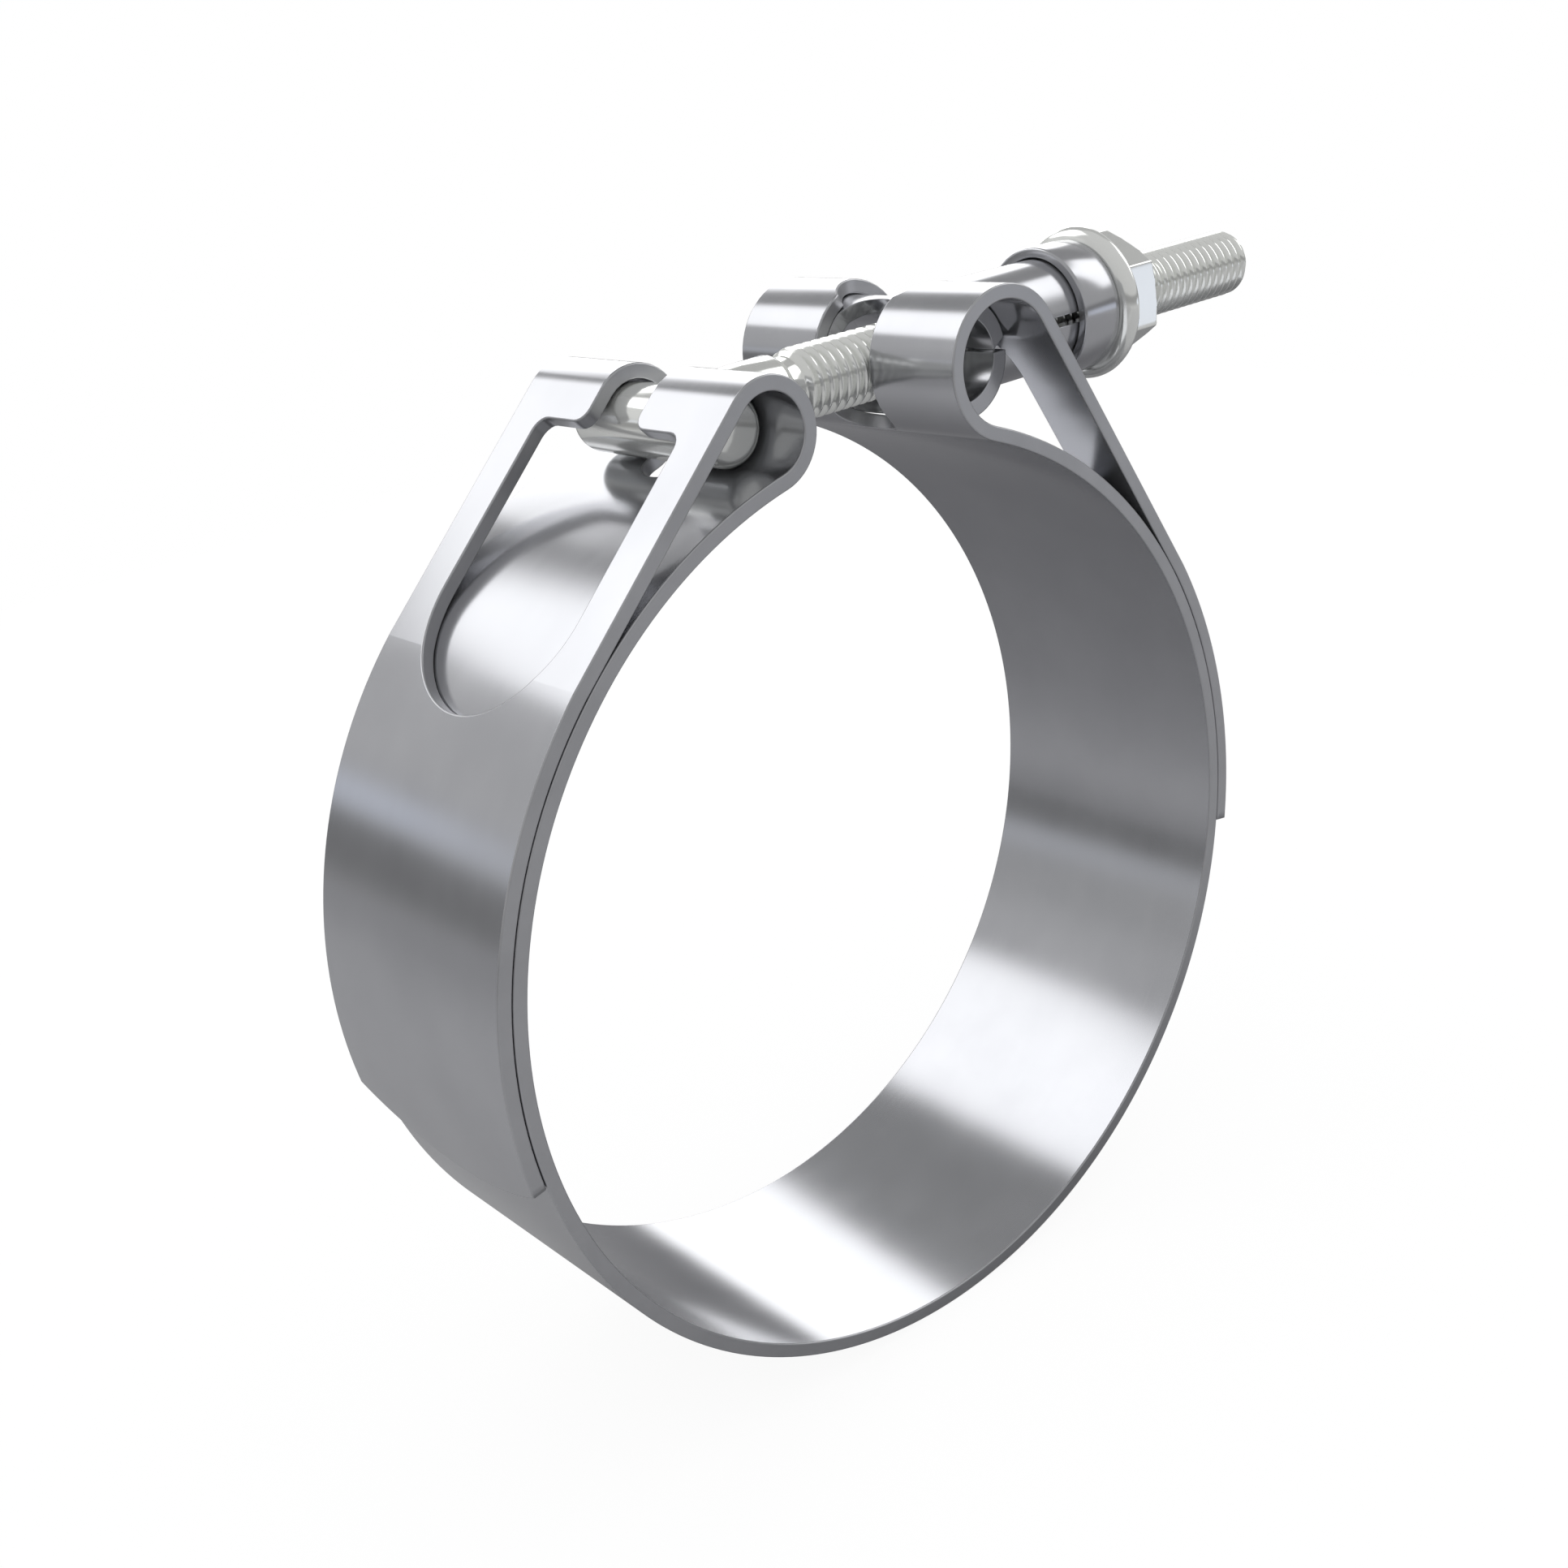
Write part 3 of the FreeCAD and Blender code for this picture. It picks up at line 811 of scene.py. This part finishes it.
# %% The collar
COLLAR_START = 43.202
COLLAR_LENGTH = 5.9
COLLAR_BORE = 6.55
COLLAR_RADIUS = 7.7
COLLAR_END = COLLAR_START + COLLAR_LENGTH
COLLAR_EDGE = 0.3
COLLAR_BREAK = 0.12
COLLAR_STEPS = 120


def rounded(corner, radius, start):
    """A quarter circle of (place, radius) points inside a corner, from one angle on."""
    return [(corner[0] + radius * math.cos(a), corner[1] + radius * math.sin(a))
            for a in (start - QUARTER * k / EDGE_STEPS for k in range(EDGE_STEPS + 1))]


def turned_piece(name, rings, material, node, degrees):
    """A closed turned piece that stands for one solid and moves with it."""
    mesh = bmesh.new()
    around = add_rings(mesh, rings)
    bridge(mesh, around[-1], around[0])
    made = bpy.data.objects.new(name, finished(mesh, name))
    made.data.materials.append(material)
    bpy.context.scene.collection.objects.link(made)
    smooth_by_angle(made, degrees)
    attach(made, node)
    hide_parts(node)
    return made


left_inner = (COLLAR_START + COLLAR_EDGE, COLLAR_RADIUS - COLLAR_EDGE)
right_inner = (COLLAR_END - COLLAR_EDGE, COLLAR_RADIUS - COLLAR_EDGE)
collar_profile = ([(COLLAR_START, COLLAR_BORE + COLLAR_BREAK)]
                  + rounded(left_inner, COLLAR_EDGE, math.pi)
                  + rounded(right_inner, COLLAR_EDGE, QUARTER)
                  + [(COLLAR_END, COLLAR_BORE + COLLAR_BREAK),
                     (COLLAR_END - COLLAR_BREAK, COLLAR_BORE),
                     (COLLAR_START + COLLAR_BREAK, COLLAR_BORE)])
turned_piece("collar_turned", turned_rings(collar_profile, COLLAR_STEPS), collar_satin, "collar",
             degrees=32)

# %% The nut
NUT_START = 49.202
NUT_HEIGHT = 8.0
NUT_FLAT = 6.5
NUT_TURN = 2.0
NUT_CORNER_ROUNDING = 0.3
NUT_CORNER_ANGLES = (-1.16, -0.78, -0.39, 0.0, 0.39, 0.78, 1.16)
NUT_SIDE_ANGLES = range(4, 57, 4)
NUT_BORE = 4.035
NUT_MOUTH = 0.55
FLANGE_RADIUS = 8.95
BOWL_RADIUS = 6.9
BOWL_HEIGHT = 1.55
BOWL_STEPS = 10
# place from the nut's underside and radius
FLANGE_RIM = [(1.72, 8.94), (1.92, 8.86)]
SLOPE_START = (2.04, 8.72)
SLOPE_END = 3.4
SLOPE_SHARES = (0.5, 1.0, 1.08)
CHAMFER_RADIUS = 6.25
CHAMFER_SLOPE = 2.5
CHAMFER_HEIGHT = 0.55
CHAMFER_FOOT = 0.8
CHAMFER_STEPS = 6


def nut_angles():
    """Angles round the nut in degrees, with extra ones where a corner is rounded."""
    angles = []
    for corner in range(6):
        middle = 60 * corner + 30 - NUT_TURN
        angles += [middle + a for a in NUT_CORNER_ANGLES]
        angles += [middle + a for a in NUT_SIDE_ANGLES]
    return angles


def hexagon_radius(angle):
    """Distance from the axis to the hexagon with rounded corners."""
    from_corner = math.radians((angle + NUT_TURN) % 60 - 30)
    from_flat = math.radians(30) - abs(from_corner)
    centre = (NUT_FLAT - NUT_CORNER_ROUNDING) / math.cos(math.radians(30))
    aside = centre * math.sin(from_corner)
    if abs(math.degrees(from_corner)) <= NUT_CORNER_ANGLES[-1] + 0.01:
        return centre * math.cos(from_corner) + math.sqrt(NUT_CORNER_ROUNDING ** 2 - aside ** 2)
    return NUT_FLAT / math.cos(from_flat)


def nut_rings():
    """Flange, slope up to the hexagon, hexagon, chamfer and bore, one ring after the other."""
    angles = nut_angles()

    def round_ring(place, radius):
        return [on_axis(NUT_START + place, radius, math.radians(a)) for a in angles]

    flange = [(0.0, NUT_BORE + NUT_MOUTH), (0.0, BOWL_RADIUS)]
    for k in range(1, BOWL_STEPS + 1):
        turn = QUARTER * k / BOWL_STEPS
        flange.append((BOWL_HEIGHT * (1 - math.cos(turn)),
                       BOWL_RADIUS + (FLANGE_RADIUS - BOWL_RADIUS) * math.sin(turn)))
    rings = [round_ring(*spot) for spot in flange + FLANGE_RIM + [SLOPE_START]]
    place, radius = SLOPE_START
    fall = (SLOPE_END - place) / (radius - NUT_FLAT)
    for share in SLOPE_SHARES:
        ring = []
        for a in angles:
            inwards = radius - hexagon_radius(a)
            ring.append(on_axis(NUT_START + place + fall * share * inwards,
                                radius - min(share, 1.0) * inwards, math.radians(a)))
        rings.append(ring)
    chamfer = [NUT_HEIGHT - CHAMFER_HEIGHT + CHAMFER_HEIGHT * k / CHAMFER_STEPS
               for k in range(CHAMFER_STEPS + 1)]
    for place in [NUT_HEIGHT - CHAMFER_FOOT] + chamfer:
        reach = CHAMFER_RADIUS + CHAMFER_SLOPE * (NUT_HEIGHT - place)
        rings.append([on_axis(NUT_START + place, min(hexagon_radius(a), reach), math.radians(a))
                      for a in angles])
    bore = [(NUT_HEIGHT, NUT_BORE + NUT_MOUTH), (NUT_HEIGHT - NUT_MOUTH, NUT_BORE),
            (NUT_MOUTH, NUT_BORE)]
    return rings + [round_ring(*spot) for spot in bore]


turned_piece("flange_nut_turned", nut_rings(), nut_plated, "flange_nut",
             degrees=24)

# %% [markdown]
# ## The trunnion
#
# The trunnion keeps its solid, which already has the rolled barrel, the seam and the two half
# tubes. Its edges are sharp there, so its finish rounds them in the shading: a Bevel node looks a
# fifth of a millimetre around each point and turns the normal near an edge.

# %% The trunnion's finish
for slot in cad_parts["trunnion"].material_slots:
    slot.material = trunnion_satin
print("trunnion gets", trunnion_satin.name)

# %% [markdown]
# ## The studio
#
# Polished steel shows the room more than itself, so the room has to be right. The clamp stands on
# white paper under a white sky, with three soft boxes round it: a high one behind on the left, a
# low one behind on the right, and one in front on the right. A bluish strip low on the left, a
# haze above it and a small light low in front draw the thinner reflections. A dim stretch of
# ceiling and a dark line at the horizon give the steel its contrast. All of them are painted into
# the sky by direction, which keeps their edges soft and their place the same in every part's
# mirror. In the mirror the paper's colour carries painted light on the left and in front, and
# painted shade to the right.
#
# Camera rays see plain white. Light Path tells those rays apart, and the paper still takes the
# clamp's soft shadow.

# %% Floor
FLOOR_HEIGHT = -51.65
FLOOR_HALF = 0.45
# places in metres between which painted light fades in on the mirrored paper, and painted shade far
# to the left
PAINTED_LIGHT_TO_LEFT = (0.08, -0.12)
PAINTED_LIGHT_TO_FRONT = (0.0, -0.08)
PAINTED_SHADE_FAR_LEFT = (-0.12, -0.24)
PAINTED_LIGHT_FRONT_SHARE = 0.85
PAINTED_SHADE_FAR_LEFT_DEPTH = 0.35
WHITE_SHARE = 0.88


def seen_by(finish, *names):
    """1 for rays of the named kinds, and 0 for the rest."""
    kinds = finish.node("LightPath", output=None)
    total = kinds[names[0]]
    for name in names[1:]:
        total = total + kinds[name]
    return total.clamped()


floor_finish = Finish("floor_white")
place = floor_finish.node("TexCoord", output=OBJECT_PLACE)
across = floor_finish.node("SeparateXYZ", {}, {"Vector": place}, output=None)
# The paper's colour in the mirror is painted light and shade: light to the left and in front, shade
# to the right and a little far to the left.
painted_light_left = across["X"].rise(*PAINTED_LIGHT_TO_LEFT)
painted_light_front = across["Y"].rise(*PAINTED_LIGHT_TO_FRONT)
painted_shade_far_left_mask = across["X"].rise(*PAINTED_SHADE_FAR_LEFT)
painted_light_share = painted_light_left.at_least(painted_light_front * PAINTED_LIGHT_FRONT_SHARE) * (1.0 - painted_shade_far_left_mask * PAINTED_SHADE_FAR_LEFT_DEPTH)
# dark grey is painted shade and pale grey a painted pool of light, mixed by position; camera rays see
# the plain pale paper
painted_mirror_colour = floor_finish.mix_colour(painted_light_share, (0.28, 0.28, 0.29), (0.69, 0.69, 0.7))
seen = seen_by(floor_finish, "Is Camera Ray", "Is Transmission Ray")
paper = floor_finish.node("BsdfDiffuse", {}, {
    "Color": floor_finish.mix_colour(seen, painted_mirror_colour, (0.86, 0.86, 0.865))})
white = floor_finish.node("Emission", {}, {"Color": (1.0, 1.0, 1.0), "Strength": 1.05})
floor_finish.output(floor_finish.node("MixShader", {}, {0: seen * WHITE_SHARE, 1: paper, 2: white}))
floor_finish.material.cycles.emission_sampling = "NONE"
floor_mesh = bpy.data.meshes.new("floor")
corners = [(-FLOOR_HALF, -FLOOR_HALF), (FLOOR_HALF, -FLOOR_HALF), (FLOOR_HALF, FLOOR_HALF),
           (-FLOOR_HALF, FLOOR_HALF)]
floor_mesh.from_pydata([(x, y, 0) for x, y in corners], [], [(0, 1, 2, 3)])
floor_mesh.materials.append(floor_finish.material)
floor = bpy.data.objects.new("floor", floor_mesh)
floor.location.z = FLOOR_HEIGHT * MM
bpy.context.scene.collection.objects.link(floor)
print("floor at", FLOOR_HEIGHT, "mm")

# %% Sky
MIRROR_LEVEL = 0.6
MATT_LEVEL = 0.8

world = bpy.data.worlds.new("sky")
world.use_nodes = True
world.cycles.sampling_method = "NONE"
sky = Finish("sky", world.node_tree)
direction = sky.node("TexCoord", output=GENERATED_PLACE)
axes = sky.node("SeparateXYZ", {}, {"Vector": direction}, output=None)
azimuth = axes["X"].sum("ARCTAN2", axes["X"], axes["Y"]) * math.degrees(1)
elevation = axes["Z"].sum("ARCSINE", axes["Z"]) * math.degrees(1)


def patch(azimuths, elevations):
    """1 inside a patch of sky, each side given by the two angles between which it fades."""
    left, right = azimuths
    lower, upper = elevations
    return (azimuth.rise(*left) * azimuth.rise(*right)
            * elevation.rise(*lower) * elevation.rise(*upper))


slant = (-22 - azimuth).at_least(0.0)
high_left = (azimuth.rise(-50, -42) * azimuth.rise(0.5, -8.5) * elevation.rise(66, 58)
             * (elevation - slant * 0.3).rise(26.4 - 0.2 * slant, 26.9 + 0.1 * slant))
low_right = ((azimuth + elevation * 0.45).rise(19, 23) * azimuth.rise(58, 53)
             * elevation.rise(0.5, 3.5) * elevation.rise(36, 31))
front_right = patch(((88, 94), (129, 123)), ((13, 20), (52, 46)))
front_low = patch(((112, 122), (150, 140)), ((-9, -7.5), (-2, -3.5)))
left_strip = (patch(((-60, -52), (-25, -30)), ((2.0, 5.5), (10.0, 6.5)))
              * (0.45 + 0.75 * azimuth.rise(-36, -31)))
left_haze = (patch(((-50, -38), (-14, -22)), ((8, 12), (30, 24)))
             + patch(((-62, -56), (-38, -44)), ((15, 24), (34, 29))))
ceiling = patch(((-6, 2), (94, 86)), ((32, 37), (70, 60)))
horizon = elevation.rise(-12, -3) * elevation.rise(4.5, 1.5)
level = (1.0 - ceiling * 0.34) * (1.0 - horizon * 0.61)
level = level + high_left * 3.05 + low_right * 3.5 + front_right * 3.0
level = level + left_strip * 0.95 + left_haze * 0.24 + front_low * 1.4
tint = sky.mix_colour((left_strip + front_low).clamped(), (1.0, 1.0, 1.0), (0.84, 0.89, 1.0))
in_mirrors = seen_by(sky, "Is Glossy Ray")
to_camera = seen_by(sky, "Is Camera Ray", "Is Transmission Ray")
on_matt = 1.0 - (in_mirrors + to_camera).clamped()
colour = sky.mix_colour(in_mirrors, (1.0, 1.0, 1.0), tint)
strength = level * in_mirrors * MIRROR_LEVEL + on_matt * MATT_LEVEL + to_camera
sky.output(sky.node("Background", {}, {"Color": colour, "Strength": strength}), "OutputWorld")
bpy.context.scene.world = world
print("the sky has", len(sky.tree.nodes), "nodes")
